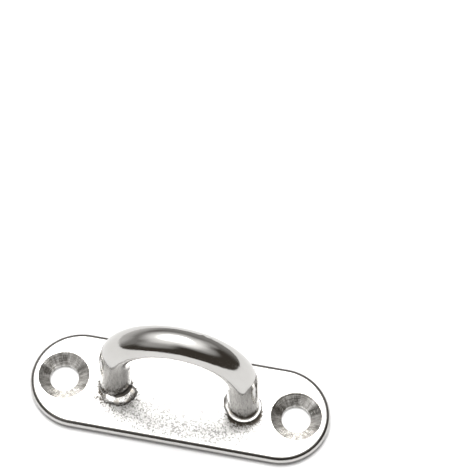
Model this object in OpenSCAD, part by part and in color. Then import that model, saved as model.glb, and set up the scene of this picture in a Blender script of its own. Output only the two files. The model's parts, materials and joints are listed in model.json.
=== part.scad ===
// Pad eye: a bent round rod welded through an oblong plate with two countersunk screw holes.
// Millimetres, +Z up. The origin is the middle of the plate's back face.
// +X runs along the plate, and the eye stands in the XZ plane.

/* [Base plate] */
// Length of the plate from tip to tip
plate_l = 48.8; // [47.6:0.2:60]
// Width of the plate, whose ends are full half circles
plate_w = 16.2; // [13:0.2:18]
// Thickness of the plate
plate_t = 2; // [1.8:0.1:3]
// Radius of the round that polishing leaves along the edges
edge_r = 0.85; // [0.2:0.05:0.85]

/* [Screw holes] */
// Distance between the centres of the screw holes
screw_spacing = 38; // [37:0.5:38.5]
// Diameter of each screw hole
screw_hole_d = 4.7; // [4:0.1:5.2]
// Diameter of the countersink at the plate's front face
sink_d = 8.2; // [7:0.1:8.6]
// Included angle of the countersink
sink_angle = 110; // [90:1:130]

/* [Eye] */
// Diameter of the rod
rod_d = 5; // [4:0.1:5.4]
// Radius of the bend at the rod's centre line
bend_r = 10.1; // [9:0.1:10.6]
// Height of the bend's centre above the plate's front face
bend_rise = 8.4; // [4:0.2:14]
// Angle by which each leg leans outwards towards its foot
leg_lean = 2.5; // [0:0.5:5]

/* [Welds] */
// Width of the bead round each foot, out from the rod
bead_w = 0.4; // [0.3:0.05:0.7]
// Height of the bead up the leg
bead_h = 1.1; // [1:0.05:1.6]
// Radius of the largest lump of weld metal at each foot
lump_r = 0.9; // [0.7:0.05:1]
// Width of the chamfer round each rod end on the back face
chamfer_w = 0.7; // [0.4:0.05:0.9]

/* [Hidden] */

rod_r = rod_d / 2;
// The leg holes are a slip fit on the rod
leg_play = 0.05;
// How far a cut reaches past the face it opens
over = 1;

sink_depth = (sink_d - screw_hole_d) / 2 / tan(sink_angle / 2);
sink_slope = (sink_d - screw_hole_d) / 2 / sink_depth;

bend_z = plate_t + bend_rise;
// The point where the bend runs into a straight leg
tangent_x = bend_r * cos(leg_lean);
tangent_z = bend_z + bend_r * sin(leg_lean);
// Long enough to pass the back face, where the leg is cut off
leg_l = tangent_z / cos(leg_lean) + over;

// The bead's face is a hollow arc that leaves a thin lip up the leg
bead_tip = 0.08;
bead_hollow_r = 1.2;
// Each run of weld starts and ends inside the eye, where the metal stands in lumps.
// A lump has an angle round the leg, with 0 facing outwards, and a share of lump_r.
lumps_left = [[196, 0.85], [220, 1], [246, 0.9]];
lumps_right = [[160, 0.8], [184, 0.9]];
lump_reach = rod_r + lump_r / 2;

chamfer_h = chamfer_w - leg_play;

$fn = 96;

// Distance of a leg's centre line from the middle, at height z
function leg_x(z) = tangent_x + (tangent_z - z) * tan(leg_lean);

// Puts its children on a leg's centre line at height z, with +Z up the leg
module on_leg(side, z) {
    mirror([side < 0 ? 1 : 0, 0, 0])
        translate([leg_x(z), 0, z])
            rotate([0, -leg_lean, 0])
                children();
}

// Removes all that lies below height z
module cut_below(z) {
    difference() {
        children();
        translate([-plate_l, -plate_l, z - plate_l]) cube([2 * plate_l, 2 * plate_l, plate_l]);
    }
}

// Half of the plate's cross-section, from its middle line out to a rounded edge
module edge_section() {
    reach = plate_w / 2;
    square([reach - edge_r, plate_t]);
    translate([0, edge_r]) square([reach, plate_t - 2 * edge_r]);
    for (y = [edge_r, plate_t - edge_r])
        translate([reach - edge_r, y]) circle(r = edge_r);
}

module oblong_blank() {
    straight = plate_l - plate_w;
    for (side = [-1, 1]) {
        translate([side * straight / 2, 0, 0]) rotate_extrude() edge_section();
        translate([-side * straight / 2, 0, 0])
            rotate([90, 0, side * 90])
                linear_extrude(straight) edge_section();
    }
}

module screw_hole() {
    translate([0, 0, -over]) cylinder(d = screw_hole_d, h = plate_t + 2 * over);
    translate([0, 0, plate_t - sink_depth])
        cylinder(d1 = screw_hole_d, d2 = sink_d + 2 * over * sink_slope, h = sink_depth + over);
}

module leg_hole(side) {
    on_leg(side, 0)
        translate([0, 0, -over]) cylinder(r = rod_r + leg_play, h = plate_t + 2 * over);
    chamfer(side);
}

// The cone cut round a leg hole on the back, wider than the rod by chamfer_w at the face
module chamfer(side) {
    on_leg(side, 0)
        translate([0, 0, -over])
            cylinder(r1 = rod_r + chamfer_w + over, r2 = rod_r + leg_play, h = chamfer_h + over);
}

// Oblong plate with two countersunk screw holes and two leaning holes for the rod
module base_plate() {
    color("gainsboro")
        difference() {
            oblong_blank();
            for (side = [-1, 1]) {
                translate([side * screw_spacing / 2, 0, 0]) screw_hole();
                leg_hole(side);
            }
        }
}

// The right half of the rod: half the bend, and the leg that runs straight on from it.
// It stops at the middle and is cut off level with the plate's back face.
module half_bow() {
    intersection() {
        translate([0, 0, bend_z])
            rotate([90, -leg_lean, 0]) {
                rotate_extrude(angle = 90) translate([bend_r, 0]) circle(d = rod_d);
                translate([bend_r, 0, 0]) rotate([90, 0, 0]) cylinder(d = rod_d, h = leg_l);
            }
        translate([0, -plate_l / 2, 0]) cube(plate_l);
    }
}

// One length of rod, bent over into an eye
module eye_bow() {
    color("silver")
        for (side = [0, 1]) mirror([side, 0, 0]) half_bow();
}

// Even ring of weld in the corner between a leg and the plate
module weld_ring() {
    rotate_extrude()
        translate([rod_r, 0])
            difference() {
                translate([0, -over]) square([bead_w, bead_h + over]);
                translate([bead_tip + bead_hollow_r, bead_h]) circle(r = bead_hollow_r);
            }
}

module weld_lumps(lumps) {
    difference() {
        for (lump = lumps)
            rotate([0, 0, lump[0]])
                translate([lump_reach, 0, 0])
                    sphere(r = lump_r * lump[1]);
        translate([0, 0, -2 * over]) cylinder(d = rod_d, h = 4 * over);
    }
}

// Weld bead on the plate's front face: the ring and its lumps
module weld_bead(side, lumps) {
    color("darkgray")
        cut_below(plate_t)
            on_leg(side, plate_t) {
                weld_ring();
                weld_lumps(lumps);
            }
}

// Weld that fills the chamfer on the back and is ground level with the face
module back_weld(side) {
    color("darkgray")
        cut_below(0)
            difference() {
                chamfer(side);
                on_leg(side, 0)
                    translate([0, 0, -2 * over]) cylinder(d = rod_d, h = chamfer_h + 4 * over);
            }
}

module weld_bead_left() { weld_bead(-1, lumps_left); }
module weld_bead_right() { weld_bead(1, lumps_right); }
module back_weld_left() { back_weld(-1); }
module back_weld_right() { back_weld(1); }

base_plate();
eye_bow();
weld_bead_left();
weld_bead_right();
back_weld_left();
back_weld_right();
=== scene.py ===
import json
import math

import bmesh
import bpy
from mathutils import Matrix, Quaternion, Vector, noise
from mathutils.geometry import delaunay_2d_cdt


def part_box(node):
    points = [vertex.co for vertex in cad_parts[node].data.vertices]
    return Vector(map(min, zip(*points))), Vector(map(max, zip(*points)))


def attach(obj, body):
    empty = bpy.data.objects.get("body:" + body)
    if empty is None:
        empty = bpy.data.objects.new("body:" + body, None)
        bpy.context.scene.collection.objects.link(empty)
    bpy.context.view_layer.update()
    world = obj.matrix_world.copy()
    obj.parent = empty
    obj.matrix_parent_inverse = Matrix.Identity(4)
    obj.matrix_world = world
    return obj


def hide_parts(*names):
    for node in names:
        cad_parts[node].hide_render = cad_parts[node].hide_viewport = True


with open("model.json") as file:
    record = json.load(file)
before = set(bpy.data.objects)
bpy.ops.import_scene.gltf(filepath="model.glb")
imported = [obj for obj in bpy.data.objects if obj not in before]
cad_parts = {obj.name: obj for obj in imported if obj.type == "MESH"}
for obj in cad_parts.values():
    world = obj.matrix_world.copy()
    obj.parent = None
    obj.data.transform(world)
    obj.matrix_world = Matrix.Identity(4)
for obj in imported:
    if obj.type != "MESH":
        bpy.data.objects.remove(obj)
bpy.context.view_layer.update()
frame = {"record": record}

# Shapes are worked out in millimetres in the frame's axes, and become metres in Shell.build.
MM = 0.001


def box_mm(node):
    low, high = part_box(node)
    return low / MM, high / MM


def mount_dims(name):
    return next(m["dims"] for m in frame["record"]["mounts"] if m["name"] == name)


# Sizes that the frame gives
PLATE_HIGH = box_mm("base_plate")[1]
PLATE_T = PLATE_HIGH.z
END_R = PLATE_HIGH.y
END_X = PLATE_HIGH.x - END_R
BOW_HIGH = box_mm("eye_bow")[1]
ROD_R = BOW_HIGH.y
HOLE_R = mount_dims("screw_holes")["hole_r_mm"]
SCREW_X = mount_dims("screw_holes")["spacing_x_mm"] / 2

# Sizes that the CAD model has and its boxes don't show
EDGE_R = 0.85
SINK_R = 4.1
SINK_HALF_ANGLE = math.radians(55)
BEND_R = 10.1
LEG_LEAN = math.radians(2.5)
LEG_PLAY = 0.05
CHAMFER_W = 0.7

BEND_Z = BOW_HIGH.z - ROD_R - BEND_R
TANGENT_X = BEND_R * math.cos(LEG_LEAN)
TANGENT_Z = BEND_Z + BEND_R * math.sin(LEG_LEAN)

SIDES = {"left": -1, "right": 1}


def side_name(side):
    return "left" if side < 0 else "right"


def leg_x(z):
    """Distance of a leg's centre line from the middle at height z."""
    return TANGENT_X + (TANGENT_Z - z) * math.tan(LEG_LEAN)


def smooth(t):
    """0 below 0, 1 above 1, and an even ramp between."""
    t = min(1.0, max(0.0, t))
    return t * t * (3 - 2 * t)


def ripple(point, size, seed=0.0):
    """Smooth noise from about -1 to 1 whose swells are about size across."""
    return noise.noise(Vector(point) / size + Vector((seed, 1.7 * seed, -seed)))


def turn_gap(a, b):
    """Difference between two angles in degrees, from 0 to 180."""
    return abs((a - b + 180) % 360 - 180)


# ---------------------------------------------------------------- mesh building

class Shell:
    """Gathers points in millimetres and faces, and makes one Blender piece of them.

    Each face corner carries a grain, the place that its material's marks are drawn at. It is
    the point itself unless grain gives another one for that finish, so that marks can follow
    a bend or a turned face. Each point carries painted shade: how far its colour is painted
    dark, standing for shade in crevices, along the plate's edge and in front of the welds.
    """

    def __init__(self):
        self.points, self.grains, self.painted_shades = [], [], []
        self.faces, self.finishes = [], []

    def add(self, point, soot=0.0, **grain):
        """Adds a point. A grain is given by the name of its finish, as in polished=(x, y, z)."""
        self.points.append(Vector(point))
        self.grains.append({name: Vector(place) for name, place in grain.items()})
        self.painted_shades.append(soot)
        return len(self.points) - 1

    def face(self, corners, finish):
        self.faces.append(tuple(corners))
        self.finishes.append(finish)

    def strip(self, a, b, finish):
        """Joins two closed rings that have as many points as each other."""
        for i in range(len(a)):
            j = (i + 1) % len(a)
            self.face((a[i], a[j], b[j], b[i]), finish)

    def cap(self, ring, middle, finish):
        """Closes a ring to one point in its middle."""
        for i in range(len(ring)):
            self.face((ring[i], ring[(i + 1) % len(ring)], middle), finish)

    def build(self, name, sharp_deg=35, **finishes):
        """Makes the piece. Each finish is given a material, as in polished=steel."""
        mesh = bpy.data.meshes.new(name)
        mesh.from_pydata([p * MM for p in self.points], [], self.faces)
        mesh.polygons.foreach_set("material_index", [list(finishes).index(f) for f in self.finishes])
        grain = mesh.attributes.new("grain", "FLOAT_VECTOR", "CORNER")
        places = [self.grains[i].get(name, self.points[i])
                  for corners, name in zip(self.faces, self.finishes) for i in corners]
        grain.data.foreach_set("vector", [c for place in places for c in place])
        # Painted shade: how dark each point's colour is painted, as a mesh attribute
        soot = mesh.attributes.new("soot", "FLOAT", "POINT")
        soot.data.foreach_set("value", self.painted_shades)
        work = bmesh.new()
        work.from_mesh(mesh)
        bmesh.ops.recalc_face_normals(work, faces=work.faces)
        work.to_mesh(mesh)
        work.free()
        mesh.shade_smooth()
        mesh.set_sharp_from_angle(angle=math.radians(sharp_deg))
        for material in finishes.values():
            mesh.materials.append(material)
        piece = bpy.data.objects.new(name, mesh)
        bpy.context.collection.objects.link(piece)
        return piece


def spline(knots, steps):
    """Points along a smooth curve through (a, b) knots, with steps points for each span."""
    ends = [knots[0]] + knots + [knots[-1]]
    out = []
    for i in range(1, len(ends) - 2):
        p0, p1, p2, p3 = (Vector(ends[i + k - 1]) for k in range(4))
        for s in range(steps):
            t = s / steps
            out.append(0.5 * (2 * p1 + (p2 - p0) * t + (2 * p0 - 5 * p1 + 4 * p2 - p3) * t ** 2
                              + (3 * p1 - p0 - 3 * p2 + p3) * t ** 3))
    return out + [Vector(knots[-1])]


# ---------------------------------------------------------------- materials

STEEL_PALE = (0.545, 0.538, 0.525)
STEEL_DEEP = (0.495, 0.486, 0.470)
# Metal that a cutter or a brush has laid bare, and the dull streaks between
FRESH_PALE = (0.70, 0.69, 0.67)
FRESH_DEEP = (0.34, 0.33, 0.31)
# The specks of the tumbled face
SATIN_PALE = (0.45, 0.444, 0.434)
SATIN_DEEP = (0.18, 0.178, 0.172)
# The dark of the painted shade in front of the welds on the plate, and the straw tint that a weld's heat
# gives the weld metal
FOOT_SHADE_DARK = (0.06, 0.058, 0.055)
STRAW = (0.50, 0.46, 0.40)
# The dark of painted shade: in crevices at the welds and holes, along the plate's edge, and in front of
# the welds
PAINTED_DARK = (0.045, 0.038, 0.030)


class Steel:
    """A procedural steel. Its methods add node groups of marks, and end in one shader."""

    def __init__(self, name):
        self.material = bpy.data.materials.new(name)
        self.material.use_nodes = True
        self.tree = self.material.node_tree
        self.shader = self.tree.nodes["Principled BSDF"]
        self.shader.inputs["Metallic"].default_value = 1.0
        self.normal = None
        self.grain = self.node("ShaderNodeAttribute", attribute_name="grain").outputs["Vector"]
        self.soot = self.node("ShaderNodeAttribute", attribute_name="soot").outputs["Fac"]

    def node(self, kind, **settings):
        made = self.tree.nodes.new(kind)
        for key, value in settings.items():
            setattr(made, key, value)
        return made

    def link(self, a, b):
        self.tree.links.new(a, b)

    def speckle(self, per_mm, detail=3.0, rough=0.55, warp=0.0):
        """Noise from 0 to 1, with per_mm as its swells per millimetre along each grain axis."""
        mapping = self.node("ShaderNodeMapping")
        mapping.inputs["Scale"].default_value = per_mm
        self.link(self.grain, mapping.inputs["Vector"])
        cloud = self.node("ShaderNodeTexNoise")
        cloud.inputs["Scale"].default_value = 1.0
        cloud.inputs["Detail"].default_value = detail
        cloud.inputs["Roughness"].default_value = rough
        cloud.inputs["Distortion"].default_value = warp
        self.link(mapping.outputs["Vector"], cloud.inputs["Vector"])
        return cloud.outputs["Fac"]

    def ramp(self, fac, stops):
        """Maps 0..1 through (position, grey or colour) stops."""
        ramp = self.node("ShaderNodeValToRGB")
        elements = ramp.color_ramp.elements
        while len(elements) < len(stops):
            elements.new(0.5)
        for element, (position, value) in zip(elements, stops):
            element.position = position
            colour = value if isinstance(value, tuple) else (value, value, value)
            element.color = (*colour, 1.0)
        self.link(fac, ramp.inputs["Fac"])
        return ramp.outputs["Color"]

    def bump(self, height, depth_mm):
        """Adds marks that are depth_mm deep to the surface."""
        bump = self.node("ShaderNodeBump")
        bump.inputs["Strength"].default_value = 1.0
        bump.inputs["Distance"].default_value = depth_mm * MM
        self.link(height, bump.inputs["Height"])
        if self.normal is not None:
            self.link(self.normal, bump.inputs["Normal"])
        self.normal = bump.outputs["Normal"]

    def stipple(self, cloud, contrast):
        """Breaks the painted shade up into specks that follow a cloud of noise."""
        shade_reach = self.node("ShaderNodeMath", operation="SUBTRACT")
        self.link(self.soot, shade_reach.inputs[0])
        self.link(cloud, shade_reach.inputs[1])
        specks = self.node("ShaderNodeMath", operation="MULTIPLY_ADD", use_clamp=True)
        self.link(shade_reach.outputs[0], specks.inputs[0])
        specks.inputs[1].default_value = contrast
        specks.inputs[2].default_value = 0.5
        self.soot = specks.outputs[0]

    def tinted(self, colour, tint):
        """The colour, turned into the tint where the painted shade is full."""
        mix = self.node("ShaderNodeMix", data_type="RGBA")
        self.link(self.soot, mix.inputs["Factor"])
        self.link(colour, mix.inputs["A"])
        mix.inputs["B"].default_value = (*tint, 1.0)
        return mix.outputs["Result"]

    def finish(self, colour, roughness, painted_shade_rough=0.55):
        """Links the colour and roughness, with the painted shade dark and dull."""
        # Painted shade: the colour is tinted dark wherever the shade attribute is set
        self.link(self.tinted(colour, PAINTED_DARK), self.shader.inputs["Base Color"])
        dull = self.node("ShaderNodeMix", data_type="FLOAT")
        self.link(self.soot, dull.inputs["Factor"])
        self.link(roughness, dull.inputs["A"])
        dull.inputs["B"].default_value = painted_shade_rough
        self.link(dull.outputs["Result"], self.shader.inputs["Roughness"])
        if self.normal is not None:
            self.link(self.normal, self.shader.inputs["Normal"])
        return self.material


def satin_plate():
    """The plate's front: tumbled smooth, with fine grain, pits, light scratches, and painted shade in
    front of the welds.
    """
    s = Steel("satin_plate")
    cloud = s.speckle((0.35, 0.35, 0.35), detail=4)
    grain = s.speckle((4.6, 4.6, 4.6), detail=3, rough=0.7)
    specks = s.speckle((3.7, 3.7, 3.7), detail=2, rough=0.7)
    pits = s.ramp(s.speckle((7.0, 7.0, 7.0), detail=2), [(0.26, 0.0), (0.36, 1.0)])
    scratches = s.ramp(s.speckle((0.25, 9.0, 1.0), detail=2, warp=0.4), [(0.62, 0.0), (0.70, 1.0)])
    s.bump(grain, 0.028)
    s.bump(pits, 0.015)
    s.bump(scratches, 0.002)
    # Painted shade in front of the welds: a smooth dark tint, with dark specks over it
    foot_shaded = s.tinted(s.ramp(specks, [(0.41, SATIN_DEEP), (0.52, SATIN_PALE)]), FOOT_SHADE_DARK)
    s.stipple(specks, 4.0)
    return s.finish(foot_shaded, s.ramp(cloud, [(0.3, 0.37), (0.7, 0.31)]))


def polished_edge():
    """The plate's rounded edge, with polishing lines that run along it."""
    s = Steel("polished_edge")
    cloud = s.speckle((0.5, 0.5, 0.8), detail=4)
    lines = s.speckle((0.35, 0.35, 9.0), detail=4, rough=0.65)
    s.bump(lines, 0.006)
    return s.finish(s.ramp(cloud, [(0.3, STEEL_DEEP), (0.7, STEEL_PALE)]),
                    s.ramp(lines, [(0.3, 0.13), (0.7, 0.24)]), painted_shade_rough=0.2)


def turned_sink():
    """The countersinks and bores: fine rings from the cutter, with streaks across them."""
    s = Steel("turned_sink")
    rings = s.speckle((9.0, 0.8, 0.8), detail=4, rough=0.7)
    streaks = s.speckle((0.3, 2.2, 2.2), detail=3, rough=0.6)
    s.bump(rings, 0.026)
    s.bump(streaks, 0.005)
    return s.finish(s.ramp(streaks, [(0.38, FRESH_DEEP), (0.62, FRESH_PALE)]),
                    s.ramp(rings, [(0.3, 0.09), (0.7, 0.20)]))


def ground_back():
    """The back face: linished flat, with straight scratches along the plate."""
    s = Steel("ground_back")
    cloud = s.speckle((0.3, 0.6, 0.6), detail=4)
    lines = s.speckle((0.12, 8.0, 1.0), detail=5, rough=0.7)
    s.bump(lines, 0.016)
    return s.finish(s.ramp(cloud, [(0.3, STEEL_DEEP), (0.7, STEEL_PALE)]),
                    s.ramp(lines, [(0.3, 0.30), (0.7, 0.44)]))


def polished_rod():
    """The rod: polished bright, with faint drawing lines along it and a few fine pits."""
    s = Steel("polished_rod")
    cloud = s.speckle((0.18, 0.5, 0.5), detail=4)
    lines = s.speckle((0.10, 3.2, 3.2), detail=5, rough=0.6)
    fine = s.speckle((0.7, 9.0, 9.0), detail=3, rough=0.6)
    pits = s.ramp(s.speckle((5.0, 5.0, 5.0), detail=1), [(0.20, 0.0), (0.28, 1.0)])
    s.bump(lines, 0.010)
    s.bump(fine, 0.0015)
    s.bump(pits, 0.004)
    return s.finish(s.ramp(cloud, [(0.3, STEEL_DEEP), (0.7, STEEL_PALE)]),
                    s.ramp(fine, [(0.3, 0.08), (0.7, 0.14)]))


def sawn_end():
    """The rod's ends on the back, ground off with coarse parallel marks."""
    s = Steel("sawn_end")
    lines = s.speckle((6.0, 0.4, 1.0), detail=4, rough=0.7)
    s.bump(lines, 0.030)
    return s.finish(s.ramp(lines, [(0.3, STEEL_DEEP), (0.7, STEEL_PALE)]),
                    s.ramp(lines, [(0.3, 0.28), (0.7, 0.48)]))


def weld_steel(name, shine, pitting):
    """Weld metal: bright where it was brushed, with fine lumps, pits and a straw tint."""
    s = Steel(name)
    cloud = s.speckle((0.9, 0.9, 0.9), detail=5, rough=0.6)
    lumps = s.speckle((3.0, 3.0, 3.0), detail=3, rough=0.6)
    pits = s.ramp(s.speckle((4.5, 4.5, 4.5), detail=2), [(0.30, 0.0), (0.40, 1.0)])
    s.bump(lumps, 0.08 * pitting)
    s.bump(pits, 0.03 * pitting)
    return s.finish(s.ramp(cloud, [(0.32, STRAW), (0.5, STEEL_PALE), (0.7, FRESH_PALE)]),
                    s.ramp(cloud, [(0.3, shine + 0.12), (0.7, shine)]))


# ---------------------------------------------------------------- base plate

ARC_STEPS = 88
STRAIGHT_STEPS = 76
RING_STEPS = 176
EDGE_STEPS = 14
CONE_STEPS = 40
# Spacing of the points on the flats, along a row and from row to row
FACE_PITCH = 0.48
ROW_PITCH = FACE_PITCH * 0.87
# Width of the flat's outermost ring, which keeps the shading of its rim narrow
FLAT_MARGIN = 0.08
# Twice the area of the smallest triangle that is kept
SLIVER = 1e-5
# Points of a flat that lie closer than this count as one
MERGE = 1e-5

# How far a countersink's rounded rim reaches past its radius, and how far a bore flares at the back
RIM_REACH = 0.12
BORE_FLARE = 0.10
# Radius of a countersink's outermost ring, which lies on the flat, and of a bore's last ring
SINK_OUT_R = SINK_R + RIM_REACH + FLAT_MARGIN
BORE_OUT_R = HOLE_R + BORE_FLARE


def outline(inset):
    """Points round the oblong outline, inset from its edge, counter-clockwise from the right."""
    radius = END_R - inset
    points = []
    for side in (1, -1):
        for i in range(ARC_STEPS):
            a = math.pi * (i / ARC_STEPS - 0.5) + (0 if side > 0 else math.pi)
            points.append((side * END_X + radius * math.cos(a), radius * math.sin(a)))
        for i in range(STRAIGHT_STEPS):
            points.append((side * END_X * (1 - 2 * i / STRAIGHT_STEPS), side * radius))
    return points


def circle(cx, radius, stretch):
    """Points round a circle about (cx, 0), stretched along the plate as a leaning hole is."""
    turns = [2 * math.pi * i / RING_STEPS for i in range(RING_STEPS)]
    return [(cx + stretch * radius * math.cos(a), radius * math.sin(a)) for a in turns]


def front_height(x, y):
    """Height of the front face: slightly uneven from tumbling, and sunk a little round each weld."""
    swell = 0.010 * ripple((x, y, 0), 5.0) + 0.004 * ripple((x, y, 3), 1.9)
    dish = sum(0.02 * math.exp(-((math.hypot(x - side * leg_x(PLATE_T), y) - 3.0) / 0.9) ** 2)
               for side in SIDES.values())
    return PLATE_T + swell - dish


def back_height(x, y):
    """Height of the back face, which linishing leaves a little hollow."""
    return 0.006 + 0.006 * ripple((x, y, 5), 6.0)


# Painted shade in front of each foot: the foot's side, the weld's radius there, and how far specks go
SHADED_FEET = ((-1, 2.65, 4.2), (1, 2.86, 2.2))


def foot_shade(x, y):
    """Painted shade on the front face: dark in front of each weld, where the legs and bow shade the plate,
    and specks of it that fade out.
    """
    soot = 0.0
    for side, weld_r, fade in SHADED_FEET:
        dx = x - side * leg_x(PLATE_T)
        reach = math.hypot(dx, y)
        out = reach - weld_r
        ahead = smooth(0.15 - (1.1 * y - 0.25 * dx) / reach)
        band = 0.45 * smooth((0.30 - out) / 0.14)
        specks = 0.60 * smooth((fade - out) / fade)
        soot = max(soot, ahead * (band + specks))
    return soot


def plate_face(shell, outer, loops, height, finish):
    """Fills the flat between an outer ring and holes, given as (centre x, radius, ring).

    Each point has an owner: 0 for the outer ring and the flat itself, or the number of its hole.
    A triangle whose corners all belong to one hole lies inside it, and is left out.
    """
    rings = [outer] + [ring for _, _, ring in loops]
    index = [i for ring in rings for i in ring]
    owner = [k for k, ring in enumerate(rings) for _ in ring]
    flat = [shell.points[i].xy for i in index]
    edges, start = [], 0
    for ring in rings:
        edges += [(start + i, start + (i + 1) % len(ring)) for i in range(len(ring))]
        start += len(ring)
    rows = int(2 * END_R / ROW_PITCH) + 2
    columns = int(2 * (END_X + END_R) / FACE_PITCH) + 2
    margin = 0.6 * FACE_PITCH
    for r in range(rows):
        for c in range(columns):
            x = -END_X - END_R + FACE_PITCH * (c + 0.5 * (r % 2))
            y = -END_R + ROW_PITCH * r
            outside = math.hypot(max(0, abs(x) - END_X), y) > END_R - EDGE_R - FLAT_MARGIN - margin
            if outside or any(math.hypot(x - cx, y) < radius + margin for cx, radius, _ in loops):
                continue
            # Painted shade in front of the welds, on the front face only
            soot = foot_shade(x, y) if finish == "satin" else 0.0
            flat.append(Vector((x, y)))
            owner.append(0)
            index.append(shell.add((x, y, height(x, y)), soot=soot))
    inside_outlines = 1
    _, _, faces, origins, _, _ = delaunay_2d_cdt(flat, edges, [], inside_outlines, MERGE)
    for corners in faces:
        ids = [origins[i][0] for i in corners]
        a, b, c = (flat[i] for i in ids)
        sliver = (b - a).cross(c - a) < SLIVER
        in_hole = owner[ids[0]] == owner[ids[1]] == owner[ids[2]] > 0
        if not sliver and not in_hole:
            shell.face([index[i] for i in ids], finish)


def edge_shade(turn):
    """Painted dark on the edge at an angle down its round: a band, as a painted dark reflection, and all
    lower down, as painted shade under the edge.
    """
    band_at, band_half = 34, 26
    low_from, low_fade = 88, 22
    return 0.85 * max(smooth(1 - abs(turn - band_at) / band_half), smooth((turn - low_from) / low_fade))


def edge_rings(shell):
    """The rounded edge from the front face down to the back, as rings of the outline."""
    wear = 0.012
    line_spread = 2.2
    profile = [(EDGE_R * (1 - math.sin(a)), PLATE_T - EDGE_R * (1 - math.cos(a)))
               for a in (math.pi / 2 * k / EDGE_STEPS for k in range(EDGE_STEPS + 1))]
    profile = [(EDGE_R + FLAT_MARGIN, PLATE_T)] + profile + [(0.0, PLATE_T / 2)]
    profile += [(inset, PLATE_T - z) for inset, z in reversed(profile[:-1])]
    rings = []
    for k, (inset, z) in enumerate(profile):
        ring = []
        # The edge's painted dark reflection near the top and painted shade lower down
        edge_dark = edge_shade(90 * (k - 1) / EDGE_STEPS)
        for x, y in outline(inset):
            lift = (front_height(x, y) - PLATE_T) * smooth(1 - (k - 1) / EDGE_STEPS)
            shrink = 1 - wear * abs(ripple((x, y, 9), 4.0)) / END_R
            ring.append(shell.add((x * shrink, y * shrink, z + lift), soot=edge_dark,
                                  edge=(x, y, line_spread * k / EDGE_STEPS)))
        rings.append(ring)
    return rings


def sink_profile():
    """Radius and height down a countersink and its bore, and where the cone starts and ends."""
    depth = (SINK_R - HOLE_R) / math.tan(SINK_HALF_ANGLE)
    slope = math.pi / 2 - SINK_HALF_ANGLE
    rim_r = RIM_REACH / math.tan(slope / 2)
    rim = [(SINK_OUT_R, PLATE_T)]
    rim += [(SINK_R + RIM_REACH - rim_r * math.sin(a), PLATE_T - rim_r * (1 - math.cos(a)))
            for a in (slope * k / 6 for k in range(7))]
    start, floor_z = rim[-1], PLATE_T - depth
    cone = [(start[0] + (HOLE_R - start[0]) * t, start[1] + (floor_z - start[1]) * t)
            for t in ((k + 1) / CONE_STEPS for k in range(CONE_STEPS))]
    bore = [(HOLE_R, floor_z * t) for t in (0.97, 0.85, 0.7, 0.55, 0.4, 0.25, 0.1)]
    return rim + cone + bore + [(BORE_OUT_R, 0.0)], len(rim), len(rim) + CONE_STEPS


def screw_hole(shell, side):
    """A turned countersink and its bore. Returns its first and last rings."""
    profile, cone_from, cone_to = sink_profile()
    cx = side * SCREW_X
    rings = []
    for k, (radius, z) in enumerate(profile):
        ring = []
        for i in range(RING_STEPS):
            a = 2 * math.pi * i / RING_STEPS
            cos, sin = math.cos(a), math.sin(a)
            cut = 0.0
            if cone_from <= k < cone_to - 1:
                down = (k - cone_from) / (cone_to - cone_from)
                groove = 0.011 * ripple((radius * 4.5, 0, 0), 1.0, seed=side)
                groove += 0.004 * ripple((radius * 11, cos, sin), 1.0, seed=side)
                chatter = 0.030 * ripple((cos * 2.6, sin * 2.6, 0.8 * down), 1.0, seed=3 * side)
                cut = groove + chatter * smooth(3 * down) * smooth(3 * (1 - down))
            r = radius + cut * math.cos(SINK_HALF_ANGLE)
            h = z - cut * math.sin(SINK_HALF_ANGLE)
            x, y = cx + r * cos, r * sin
            h += (front_height(x, y) - PLATE_T) * smooth((cone_from - k) / (cone_from - 1))
            ring.append(shell.add((x, y, h), turned=(r + z, 2 * cos, 2 * sin)))
        rings.append(ring)
    for k in range(len(rings) - 1):
        shell.strip(rings[k], rings[k + 1], "turned")
    return rings[0], rings[-1]


def leg_hole(shell, side):
    """The leaning hole for a leg, with painted shade inside, and its chamfer on the back. Returns its end
    rings.
    """
    stretch = 1 / math.cos(LEG_LEAN)
    hole = ROD_R + LEG_PLAY
    rings = []
    for z, radius in ((PLATE_T, hole), (PLATE_T / 2, hole), (CHAMFER_W - LEG_PLAY, hole),
                      (0.0, ROD_R + CHAMFER_W)):
        # The hole's wall is painted dark, as shade in the narrow gap round the leg
        rings.append([shell.add((x, y, z), soot=0.8 if z else 0.0)
                      for x, y in circle(side * leg_x(z), radius, stretch)])
    for k in range(len(rings) - 1):
        shell.strip(rings[k], rings[k + 1], "turned")
    return rings[0], rings[-1]


def base_plate():
    """The plate: its rounded edge, the four holes, and the two flats between them."""
    shell = Shell()
    edges = edge_rings(shell)
    for k in range(len(edges) - 1):
        shell.strip(edges[k], edges[k + 1], "edge")
    front, back = [], []
    for side in SIDES.values():
        top, bottom = screw_hole(shell, side)
        front.append((side * SCREW_X, SINK_OUT_R, top))
        back.append((side * SCREW_X, BORE_OUT_R, bottom))
        top, bottom = leg_hole(shell, side)
        front.append((side * leg_x(PLATE_T), ROD_R + LEG_PLAY, top))
        back.append((side * leg_x(0), ROD_R + CHAMFER_W, bottom))
    plate_face(shell, edges[0], front, front_height, "satin")
    plate_face(shell, edges[-1], back, back_height, "ground")
    return shell.build("base_plate_steel", satin=satin_plate(), edge=polished_edge(),
                       turned=turned_sink(), ground=ground_back())


# ---------------------------------------------------------------- eye bow

ROD_STEPS = 112
BEND_STEPS = 250
LEG_STEPS = 76
# The crown stands a little to the left of the feet, as bending left it
SKEW = -0.22
# Marks near the crown: place along the rod from its middle, angle round it, length, width, height
BURRS = [(3.2, 0.62, 0.22, 0.16, 0.055), (3.75, 0.70, 0.30, 0.14, -0.030), (4.3, 0.66, 0.35, 0.18, 0.030),
         (-2.2, 0.95, 0.5, 0.12, -0.012)]
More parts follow.
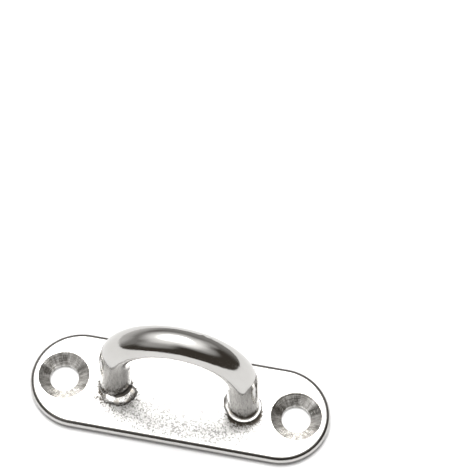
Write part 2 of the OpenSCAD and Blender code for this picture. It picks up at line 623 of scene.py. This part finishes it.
# Painted shade on a leg where it meets the weld and plate: how dark, how far it reaches up, and over what
# height it fades
LEG_SHADE, LEG_SHADE_H, LEG_SHADE_FADE = 0.85, 0.35, 0.3
# How far the rod's ground ends are hollowed
END_HOLLOW = 0.012


def rod_relief(along, cos, sin):
    """How far the rod's skin stands out: swells from polishing by hand, and the burrs."""
    relief = 0.010 * ripple((along / 3.2, 1.5 * cos, 1.5 * sin), 1.0)
    relief += 0.003 * ripple((along / 0.9, 2.6 * cos, 2.6 * sin), 1.0, seed=4)
    angle = math.atan2(sin, cos)
    for place, turn, length, width, height in BURRS:
        off = ((along - place) / length) ** 2 + ((angle - turn) * ROD_R / width) ** 2
        relief += height * math.exp(-off)
    return relief


def skewed(point):
    """The point, moved by a share of SKEW that grows from nothing at the plate to all at the crown."""
    x, y, z = point
    return x + SKEW * smooth((z - PLATE_T) / (BEND_Z + BEND_R - PLATE_T)), y, z


def rod_ring(shell, centre, outward, along):
    """One ring of the rod about centre, where outward points away from the bend's centre."""
    ring = []
    for i in range(ROD_STEPS):
        a = 2 * math.pi * i / ROD_STEPS
        cos, sin = math.cos(a), math.sin(a)
        radius = ROD_R + rod_relief(along, cos, sin)
        point = centre + outward * (radius * cos) + Vector((0, radius * sin, 0))
        point.z = min(point.z, BOW_HIGH.z)
        ring.append(shell.add(skewed(point), rod=(along, ROD_R * cos, ROD_R * sin)))
    return ring


def leg_rings(shell, side, along):
    """Rings down a leg from the bend, ending level with the plate's back."""
    down = Vector((side * math.sin(LEG_LEAN), 0, -math.cos(LEG_LEAN)))
    outward = Vector((side * math.cos(LEG_LEAN), 0, math.sin(LEG_LEAN)))
    start = Vector((side * TANGENT_X, 0, TANGENT_Z))
    rings = []
    for k in range(1, LEG_STEPS + 1):
        share = k / LEG_STEPS
        ring = []
        for i in range(ROD_STEPS):
            a = 2 * math.pi * i / ROD_STEPS
            cos, sin = math.cos(a), math.sin(a)
            drop = (start.z + outward.z * ROD_R * cos) / math.cos(LEG_LEAN) * share
            here = side * (along + drop)
            radius = ROD_R + rod_relief(here, cos, sin) * (1 - smooth(10 * share - 9))
            point = start + outward * (radius * cos) + Vector((0, radius * sin, 0)) + down * drop
            if k == LEG_STEPS:
                point.z = 0.0
            # Painted shade on the leg's foot, where the weld and plate crowd it
            soot = LEG_SHADE * smooth((PLATE_T + LEG_SHADE_H - point.z) / LEG_SHADE_FADE)
            ring.append(shell.add(skewed(point), soot=soot if point.z > 0 else 0.0,
                                  rod=(here, ROD_R * cos, ROD_R * sin)))
        rings.append(ring)
    return rings


def end_cap(shell, ring, side):
    """Closes a rod end with a ground face that is dished a little between its scratches."""
    centre = Vector((side * leg_x(0), 0, 0))
    rings = [ring]
    for share in (0.97, 0.8, 0.6, 0.4, 0.2):
        level = []
        for i in ring:
            p = centre + (shell.points[i] - centre) * share
            p.z = END_HOLLOW + 0.010 * ripple((p.x * 2.5, p.y * 0.4, 0), 1.0, seed=side)
            level.append(shell.add(p))
        rings.append(level)
    for k in range(len(rings) - 1):
        shell.strip(rings[k], rings[k + 1], "end")
    shell.cap(rings[-1], shell.add(centre + Vector((0, 0, END_HOLLOW))), "end")


def eye_bow():
    """The rod, as one run of rings from the left end over the bend to the right end."""
    shell = Shell()
    half = math.pi / 2 + LEG_LEAN
    bend_length = BEND_R * half
    bend = []
    for k in range(BEND_STEPS + 1):
        turn = half * (1 - 2 * k / BEND_STEPS)
        outward = Vector((math.sin(-turn), 0, math.cos(turn)))
        bend.append(rod_ring(shell, Vector((0, 0, BEND_Z)) + outward * BEND_R, outward, -BEND_R * turn))
    left = leg_rings(shell, -1, bend_length)
    right = leg_rings(shell, 1, bend_length)
    rings = list(reversed(left)) + bend + right
    for k in range(len(rings) - 1):
        shell.strip(rings[k], rings[k + 1], "rod")
    end_cap(shell, left[-1], -1)
    end_cap(shell, right[-1], 1)
    return shell.build("eye_bow_steel", rod=polished_rod(), end=sawn_end())


# ---------------------------------------------------------------- welds

BEAD_STEPS = 200
# Profiles of the weld as (distance out from the leg's axis, height above the plate)
LEDGE = [(2.44, 0.44), (2.495, 0.40), (2.51, 0.385), (2.54, 0.38), (2.60, 0.378), (2.67, 0.368),
         (2.74, 0.35), (2.80, 0.325), (2.85, 0.285), (2.87, 0.22), (2.84, 0.12), (2.78, 0.05),
         (2.76, -0.04)]
THIN = [(2.44, 0.60), (2.50, 0.45), (2.51, 0.36), (2.53, 0.28), (2.55, 0.22), (2.58, 0.18), (2.61, 0.16),
        (2.64, 0.145), (2.665, 0.12), (2.67, 0.09), (2.66, 0.05), (2.64, 0.02), (2.63, -0.04)]
NUGGET = [(2.44, 1.02), (2.50, 0.99), (2.62, 0.95), (2.80, 0.90), (3.00, 0.85), (3.20, 0.79), (3.40, 0.72),
          (3.60, 0.62), (3.78, 0.49), (3.91, 0.33), (3.94, 0.18), (3.90, 0.06), (3.86, -0.04)]
SHELF = [(2.44, 0.72), (2.50, 0.70), (2.60, 0.67), (2.74, 0.63), (2.92, 0.57), (3.10, 0.51), (3.26, 0.44),
         (3.42, 0.36), (3.54, 0.27), (3.62, 0.18), (3.63, 0.09), (3.60, 0.02), (3.56, -0.04)]
BUMP = [(2.44, 1.05), (2.50, 0.95), (2.60, 0.93), (2.75, 0.94), (2.92, 0.91), (3.10, 0.82), (3.26, 0.68),
        (3.39, 0.52), (3.47, 0.36), (3.50, 0.22), (3.48, 0.10), (3.43, 0.02), (3.38, -0.04)]
PROFILE_STEPS = 4
# Angle over which a lump rises out of the even ring
FADE_DEG = 26
# How far the bead's hidden underside lies inside the rod and the plate
ROOT_IN, ROOT_DOWN = 0.06, 0.05
# Gap that keeps a back weld off the rod and the chamfer's edge
WELD_GAP = 0.01
BACK_STEPS = 10
# Lumps of each bead: profile, angle in the frame, half width, size, and how far out from the rod the
# painted shade behind it reaches
LEFT_LUMPS = [(SHELF, -98, 34, 1.0, 0.05), (NUGGET, -42, 52, 1.0, 0.42)]
RIGHT_LUMPS = [(BUMP, 162, 30, 1.0, 0.04), (SHELF, 190, 22, 0.5, 0.0)]


def weld_profile(collar, lumps, angle):
    """The weld's profile at an angle in degrees, the lumps' share in it, and how far out from the rod its
    painted shade reaches.
    """
    profile, share, shade_reach = collar, 0.0, 0.0
    for knots, place, half, size, shade_width in lumps:
        part = size * smooth((half - turn_gap(angle, place)) / FADE_DEG)
        if part:
            profile = [p.lerp(q, part) for p, q in zip(profile, spline(knots, PROFILE_STEPS))]
        share, shade_reach = max(share, part), max(shade_reach, part * shade_width)
    return profile, share, shade_reach


def bead(side, collar, lumps, unevenness, material):
    """Weld round a foot: an even collar, with lumps that rise out of it."""
    shell = Shell()
    collar = spline(collar, PROFILE_STEPS)
    columns = []
    for i in range(BEAD_STEPS):
        a = 2 * math.pi * i / BEAD_STEPS
        cos, sin = math.cos(a), math.sin(a)
        profile, share, shade_reach = weld_profile(collar, lumps, math.degrees(a))
        column = []
        for k, p in enumerate(profile):
            middle = math.sin(math.pi * k / (len(profile) - 1))
            rough = unevenness * middle * (0.35 + share)
            r = p.x + rough * ripple((3 * cos, 3 * sin, 0.1 * k), 1.0, seed=side)
            z = p.y + 0.8 * rough * ripple((4.5 * cos, 4.5 * sin, 0.07 * k), 1.0, seed=2 + side)
            # Painted shade on the weld: next to the rod behind a lump, and along the bottom where the lip
            # overhangs the plate
            shade_behind = smooth((ROD_R + shade_reach - r) / 0.05) if shade_reach else 0.0
            shade_below = smooth((0.12 - z) / 0.08)
            soot = min(0.9, max(shade_behind, shade_below))
            cx = side * leg_x(PLATE_T + z)
            column.append(shell.add((cx + r * cos, r * sin, PLATE_T + z), soot=soot))
        columns.append(column)
    levels = list(zip(*columns))
    for k in range(len(levels) - 1):
        shell.strip(levels[k], levels[k + 1], "weld")
    cx, root_r = side * leg_x(PLATE_T), ROD_R - ROOT_IN
    root = [shell.add((cx + root_r * math.cos(a), root_r * math.sin(a), PLATE_T - ROOT_DOWN))
            for a in (2 * math.pi * i / BEAD_STEPS for i in range(BEAD_STEPS))]
    shell.strip(levels[-1], root, "weld")
    shell.strip(root, levels[0], "weld")
    return shell.build(f"weld_bead_{side_name(side)}_metal", sharp_deg=60, weld=material)


def back_weld(side, material):
    """The weld on the back, ground level, with a few pores and grinding hollows."""
    shell = Shell()
    rings = []
    stretch = 1 / math.cos(LEG_LEAN)
    for k in range(BACK_STEPS + 1):
        radius = ROD_R + WELD_GAP + (CHAMFER_W - 2 * WELD_GAP) * k / BACK_STEPS
        ring = []
        for x, y in circle(side * leg_x(0), radius, stretch):
            hollow = 0.020 + 0.016 * ripple((x, y, 0), 0.9, seed=side)
            pore = 0.10 * smooth(9 * (ripple((x, y, 4), 0.55, seed=5 * side) - 0.52))
            level = smooth(6 * k / BACK_STEPS) * smooth(6 * (1 - k / BACK_STEPS))
            ring.append(shell.add((x, y, 0.004 + (hollow + pore) * level)))
        rings.append(ring)
    inner = [shell.add((x, y, CHAMFER_W - LEG_PLAY))
             for x, y in circle(side * leg_x(CHAMFER_W), ROD_R + WELD_GAP, stretch)]
    for k in range(BACK_STEPS):
        shell.strip(rings[k], rings[k + 1], "weld")
    shell.strip(rings[-1], inner, "weld")
    shell.strip(inner, rings[0], "weld")
    return shell.build(f"back_weld_{side_name(side)}_metal", weld=material)


# ---------------------------------------------------------------- studio

def towards(azimuth, elevation):
    """Unit vector to a place given in degrees: its azimuth from the front and its elevation."""
    a, e = math.radians(azimuth), math.radians(elevation)
    return Vector((math.sin(a) * math.cos(e), -math.cos(a) * math.cos(e), math.sin(e)))


def camera():
    """A long lens that looks down from the front, a little from the right.

    It aims at the paper behind the plate, so that the plate lies low in the frame.
    """
    back = towards(8.6, 60)
    roll = math.radians(2.21)
    distance = 282.7
    target = Vector((3.13, 31.98, 0.0)) * MM
    data = bpy.data.cameras.new("camera")
    data.sensor_width = 36.0
    data.lens = 126.9
    data.clip_start, data.clip_end = 0.01, 20
    made = bpy.data.objects.new("camera", data)
    bpy.context.collection.objects.link(made)
    made.location = target + back * distance * MM
    made.rotation_mode = "QUATERNION"
    made.rotation_quaternion = (-back).to_track_quat("-Z", "Y") @ Quaternion((0, 0, 1), roll)
    bpy.context.scene.camera = made


# Soft lights of the dome: azimuth from the front, elevation, inner and outer angle, brightness
LIGHTS = [
    (-160, 77, 7, 19, 13.5),    # the softbox, high behind the plate
    (-135, 80, 10, 30, 2.5),    # the glow round it
    (-120, 80, 10, 55, 1.6),    # and its wide spill
    (-120, -15, 0, 55, 0.75),   # low on the left
    (165, -15, 25, 75, 0.3),    # low behind
    (-35, 35, 0, 30, 0.5),      # front left
    (-80, 15, 0, 30, 0.25),     # left
    (65, 60, 0, 35, 0.6),       # high on the right
    (130, 45, 0, 20, 0.45),     # back right
]
# The room's own dim, warm light
SHADE = (0.07, 0.06, 0.05)


def glow(tree, direction, azimuth, elevation, inner, outer, brightness):
    """A round patch of light, full within its inner angle and gone at its outer one."""
    facing = tree.nodes.new("ShaderNodeVectorMath")
    facing.operation = "DOT_PRODUCT"
    facing.inputs[1].default_value = towards(azimuth, elevation)
    tree.links.new(direction, facing.inputs[0])
    fade = tree.nodes.new("ShaderNodeMapRange")
    fade.interpolation_type = "SMOOTHSTEP"
    fade.inputs["From Min"].default_value = math.cos(math.radians(outer))
    fade.inputs["From Max"].default_value = math.cos(math.radians(inner))
    fade.inputs["To Max"].default_value = brightness
    tree.links.new(facing.outputs["Value"], fade.inputs["Value"])
    return fade.outputs["Result"]


def dome():
    """A dim room with soft patches of light. The camera itself sees plain white in its place."""
    world = bpy.data.worlds.new("studio")
    bpy.context.scene.world = world
    world.use_nodes = True
    tree = world.node_tree
    direction = tree.nodes.new("ShaderNodeTexCoord").outputs["Generated"]
    total = None
    for light in LIGHTS:
        patch = glow(tree, direction, *light)
        add = tree.nodes.new("ShaderNodeVectorMath")
        add.operation = "ADD"
        if total is None:
            add.inputs[0].default_value = SHADE
        else:
            tree.links.new(total, add.inputs[0])
        tree.links.new(patch, add.inputs[1])
        total = add.outputs["Vector"]
    room = tree.nodes["Background"]
    tree.links.new(total, room.inputs["Color"])
    backdrop = tree.nodes.new("ShaderNodeBackground")
    backdrop.inputs["Color"].default_value = (1, 1, 1, 1)
    rays = tree.nodes.new("ShaderNodeLightPath")
    mix = tree.nodes.new("ShaderNodeMixShader")
    tree.links.new(rays.outputs["Is Camera Ray"], mix.inputs[0])
    tree.links.new(room.outputs[0], mix.inputs[1])
    tree.links.new(backdrop.outputs[0], mix.inputs[2])
    tree.links.new(mix.outputs[0], tree.nodes["World Output"].inputs["Surface"])


def floor():
    """A plain sheet of white paper under the plate. It ends in front, where the room is dark."""
    left, right, front, back = -400, 400, -75, 600
    level = -0.01
    mesh = bpy.data.meshes.new("floor")
    corners = [Vector((x, y, level)) * MM
               for x, y in ((left, front), (right, front), (right, back), (left, back))]
    mesh.from_pydata(corners, [], [(0, 1, 2, 3)])
    paper = bpy.data.materials.new("paper")
    paper.use_nodes = True
    shader = paper.node_tree.nodes["Principled BSDF"]
    shader.inputs["Base Color"].default_value = (0.66, 0.66, 0.66, 1)
    shader.inputs["Roughness"].default_value = 0.9
    shader.inputs["Specular IOR Level"].default_value = 0.1
    mesh.materials.append(paper)
    made = bpy.data.objects.new("floor", mesh)
    bpy.context.collection.objects.link(made)


# ---------------------------------------------------------------- assembly

def place(piece, node, slot):
    """Puts a finished piece in the frame, in place of its CAD solid."""
    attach(piece, "root")
    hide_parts(node)


camera()
dome()
floor()
bpy.context.scene.view_settings.view_transform = "Standard"

place(base_plate(), "base_plate", "plate_steel")
place(eye_bow(), "eye_bow", "rod_steel")
bright_weld = weld_steel("weld_bright", 0.26, 0.35)
lumpy_weld = weld_steel("weld_lumpy", 0.20, 1.0)
place(bead(-1, THIN, LEFT_LUMPS, 0.09, lumpy_weld), "weld_bead_left", "weld_steel")
place(bead(1, LEDGE, RIGHT_LUMPS, 0.03, bright_weld), "weld_bead_right", "weld_steel")
ground_weld = weld_steel("weld_ground", 0.30, 0.6)
for name, side in SIDES.items():
    place(back_weld(side, ground_weld), f"back_weld_{name}", "weld_steel")
